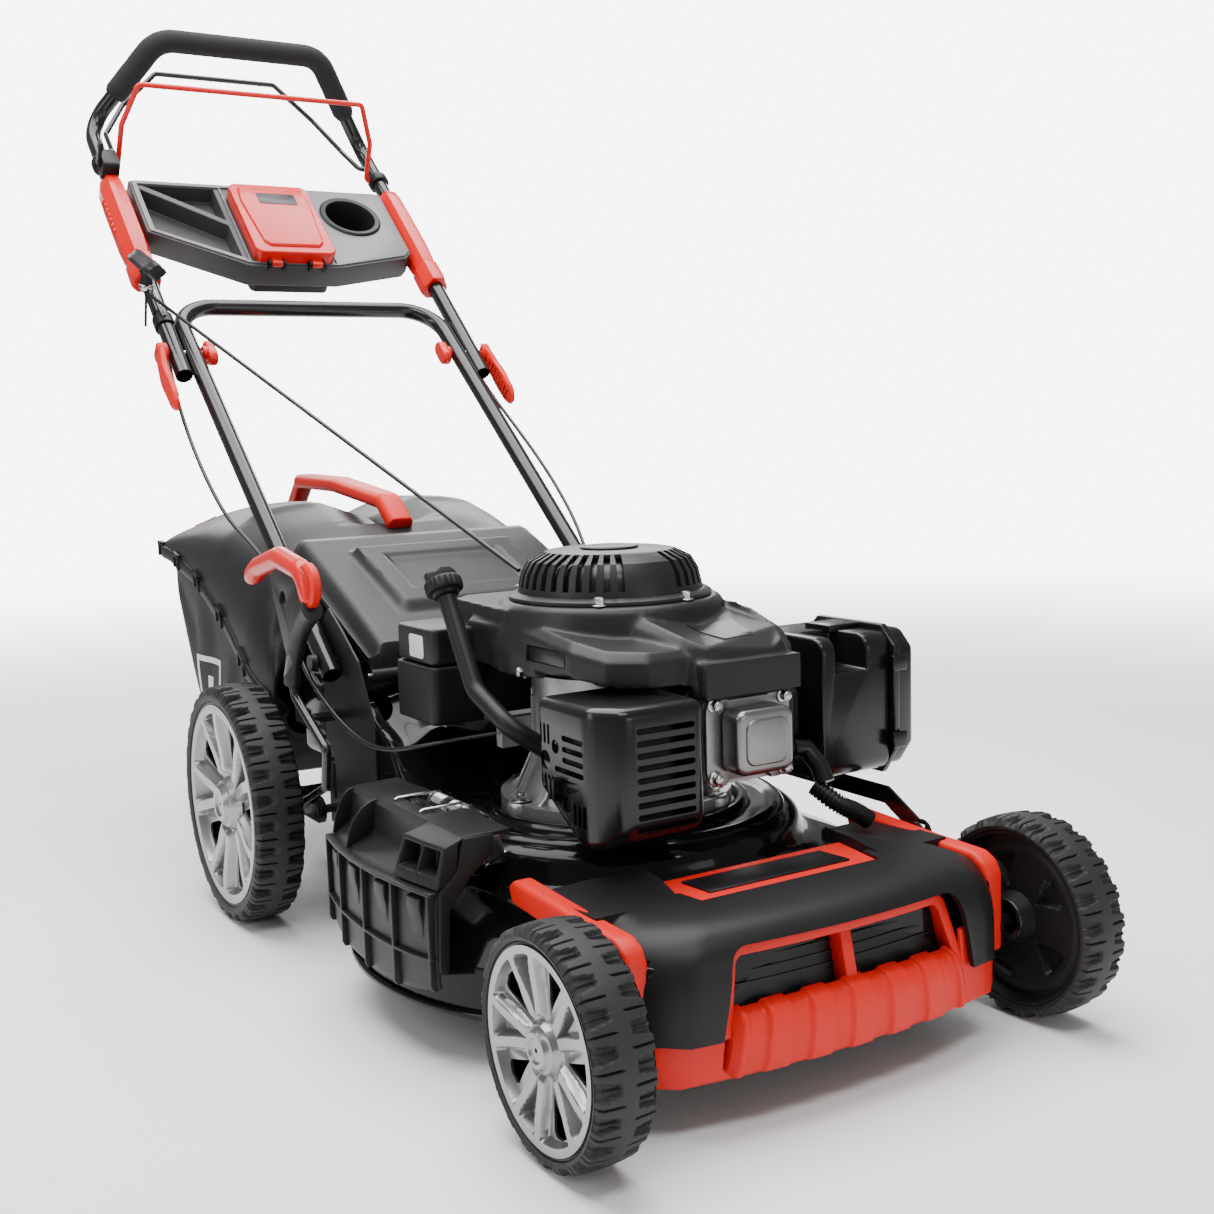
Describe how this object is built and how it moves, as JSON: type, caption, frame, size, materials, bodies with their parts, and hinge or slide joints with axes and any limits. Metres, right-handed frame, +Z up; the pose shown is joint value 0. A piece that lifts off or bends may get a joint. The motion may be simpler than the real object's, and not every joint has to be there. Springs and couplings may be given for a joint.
{
  "type": "lawn mower",
  "caption": "Walk-behind petrol rotary mower with folding handle, control bails, cup-holder console and rear grass bag.",
  "frame": {"origin": "on the ground under the middle of the machine's overall length and width", "axes": "+Z up, the mower faces -Y, so +Y points to the operator and +X is the operator's left"},
  "size_m": [0.594, 1.606, 1.187],
  "materials": {
    "black_plastic": "satin moulded black",
    "black_steel": "gloss black powder coat",
    "blade_steel": "black painted steel",
    "cast": "bare casting",
    "cloth": "dark woven polyester",
    "foam": "matt black foam",
    "grey_plastic": "satin dark grey",
    "red_plastic": "satin red",
    "rubber": "matt black rubber",
    "steel": "zinc plated"
  },
  "bodies": {
    "root": {"air_filter_base": "black_plastic", "air_filter_cover": "black_plastic", "brake_cable": "black_plastic", "carburettor": "black_plastic", "deck_housing": "black_steel", "drive_cable": "black_plastic", "engine_block": "cast", "engine_shroud": "black_plastic", "fasteners": "steel", "front_bumper": "red_plastic", "front_cover": "black_plastic", "fuel_tank": "black_plastic", "height_sector": "black_steel", "lower_handle": "black_steel", "muffler": "black_steel", "muffler_guard": "black_plastic", "oil_tube": "black_plastic", "pivot_rods": "steel", "recoil_housing": "black_plastic", "side_brackets": "black_steel", "spark_plug": "black_plastic", "starter_rope": "black_plastic", "valve_cover": "black_steel"},
    "front_axle": {"front_axle": "steel"},
    "rear_axle": {"rear_axle": "steel", "gearbox": "cast", "height_lever": "black_plastic", "lever_grip": "black_plastic"},
    "link_rod": {"link_rod": "black_steel"},
    "front_wheel_right": {"front_tyre_right": "rubber", "front_rim_right": "black_plastic"},
    "front_wheel_left": {"front_tyre_left": "rubber", "front_rim_left": "black_plastic"},
    "rear_wheel_right": {"rear_tyre_right": "rubber", "rear_rim_right": "black_plastic"},
    "rear_wheel_left": {"rear_tyre_left": "rubber", "rear_rim_left": "black_plastic"},
    "blade": {"crankshaft": "steel", "flywheel": "steel", "blade_holder": "steel", "blade": "blade_steel"},
    "upper_handle": {"upper_handle": "black_steel", "grip_foam": "foam", "console": "grey_plastic", "tube_fittings": "red_plastic", "fold_bolts": "red_plastic"},
    "drive_bail": {"drive_bail": "red_plastic"},
    "brake_bail": {"brake_bail": "black_steel"},
    "console_lid": {"console_lid": "red_plastic"},
    "throttle": {"throttle_lever": "black_plastic"},
    "cam_lever_right": {"cam_lever_right": "red_plastic"},
    "cam_lever_left": {"cam_lever_left": "red_plastic"},
    "starter_handle": {"starter_handle": "black_plastic"},
    "rear_flap": {"rear_flap": "grey_plastic"},
    "side_flap": {"side_flap": "black_plastic"},
    "grass_bag": {"bag_fabric": "cloth", "bag_lid": "grey_plastic", "bag_handle": "red_plastic"},
    "oil_cap": {"dipstick": "black_plastic"},
    "fuel_cap": {"fuel_cap": "black_plastic"}
  },
  "joints": [
    {"name": "height_adjust", "type": "hinge", "parent": "root", "child": "rear_axle", "pos_m": [0, -0.068, 0.14], "axis": [1, 0, 0], "range_deg": [-14, 14]},
    {"name": "front_axle_swing", "type": "hinge", "parent": "root", "child": "front_axle", "pos_m": [0, -0.607, 0.096], "axis": [1, 0, 0], "range_deg": [-14, 14]},
    {"name": "link_pivot", "type": "hinge", "parent": "rear_axle", "child": "link_rod", "pos_m": [0.215, -0.068, 0.076], "axis": [1, 0, 0], "range_deg": [-14, 14]},
    {"name": "front_wheel_spin_right", "type": "hinge", "parent": "front_axle", "child": "front_wheel_right", "pos_m": [-0.2565, -0.707, 0.096], "axis": [1, 0, 0], "continuous": true},
    {"name": "front_wheel_spin_left", "type": "hinge", "parent": "front_axle", "child": "front_wheel_left", "pos_m": [0.2565, -0.707, 0.096], "axis": [1, 0, 0], "continuous": true},
    {"name": "rear_wheel_spin_right", "type": "hinge", "parent": "rear_axle", "child": "rear_wheel_right", "pos_m": [-0.2675, 0.032, 0.14], "axis": [1, 0, 0], "continuous": true},
    {"name": "rear_wheel_spin_left", "type": "hinge", "parent": "rear_axle", "child": "rear_wheel_left", "pos_m": [0.2675, 0.032, 0.14], "axis": [1, 0, 0], "continuous": true},
    {"name": "blade_spin", "type": "hinge", "parent": "root", "child": "blade", "pos_m": [0, -0.38, 0.18], "axis": [0, 0, 1], "continuous": true},
    {"name": "handle_fold", "type": "hinge", "parent": "root", "child": "upper_handle", "pos_m": [0, 0.351, 0.683], "axis": [1, 0, 0], "range_deg": [0, 140], "deforming": ["starter_rope", "brake_cable", "drive_cable"]},
    {"name": "drive_bail_squeeze", "type": "hinge", "parent": "upper_handle", "child": "drive_bail", "pos_m": [0, 0.668, 0.97957], "axis": [-1, 0, 0], "range_deg": [0, 32], "stiffness_Nm_per_rad": 0.5, "springref_deg": -28.65},
    {"name": "brake_bail_squeeze", "type": "hinge", "parent": "upper_handle", "child": "brake_bail", "pos_m": [0, 0.693, 1.00296], "axis": [1, 0, 0], "range_deg": [0, 20], "stiffness_Nm_per_rad": 0.8, "springref_deg": -28.65},
    {"name": "console_lid_open", "type": "hinge", "parent": "upper_handle", "child": "console_lid", "pos_m": [0, 0.4679, 0.81976], "axis": [1, 0, 0], "range_deg": [0, 75]},
    {"name": "throttle_turn", "type": "hinge", "parent": "upper_handle", "child": "throttle", "pos_m": [-0.2366, 0.63306, 0.97798], "axis": [1, 0, 0], "range_deg": [-25, 25]},
    {"name": "cam_lever_right_open", "type": "hinge", "parent": "upper_handle", "child": "cam_lever_right", "pos_m": [-0.2436, 0.351, 0.683], "axis": [0, 0.6832, -0.7302], "range_deg": [0, 100]},
    {"name": "cam_lever_left_open", "type": "hinge", "parent": "upper_handle", "child": "cam_lever_left", "pos_m": [0.2436, 0.351, 0.683], "axis": [0, -0.6832, 0.7302], "range_deg": [0, 100]},
    {"name": "starter_pull", "type": "slide", "parent": "upper_handle", "child": "starter_handle", "axis": [0, -0.3, 0.9539], "range_m": [0, 0.05], "stiffness_N_per_m": 60, "springref_m": -0.1},
    {"name": "rear_flap_open", "type": "hinge", "parent": "root", "child": "rear_flap", "pos_m": [0, -0.15, 0.3025], "axis": [1, 0, 0], "range_deg": [0, 36], "stiffness_Nm_per_rad": 0.4, "springref_deg": -22.92},
    {"name": "side_flap_open", "type": "hinge", "parent": "root", "child": "side_flap", "pos_m": [-0.193, -0.392, 0.206], "axis": [0, 1, 0], "range_deg": [0, 70], "stiffness_Nm_per_rad": 0.3, "springref_deg": -22.92},
    {"name": "bag_remove", "type": "slide", "parent": "root", "child": "grass_bag", "axis": [0, 1, 0], "range_m": [0, 0.35]},
    {"name": "oil_cap_turn", "type": "hinge", "parent": "root", "child": "oil_cap", "pos_m": [-0.151, -0.309, 0.402], "axis": [-0.0097, 0.5116, 0.8592], "continuous": true},
    {"name": "fuel_cap_turn", "type": "hinge", "parent": "root", "child": "fuel_cap", "pos_m": [0.03, -0.241, 0.4], "axis": [0, 0, 1], "continuous": true}
  ],
  "couplings": [
    {"joint": "front_axle_swing", "follows": "height_adjust", "ratio": -1},
    {"joint": "link_pivot", "follows": "height_adjust", "ratio": -1}
  ]
}
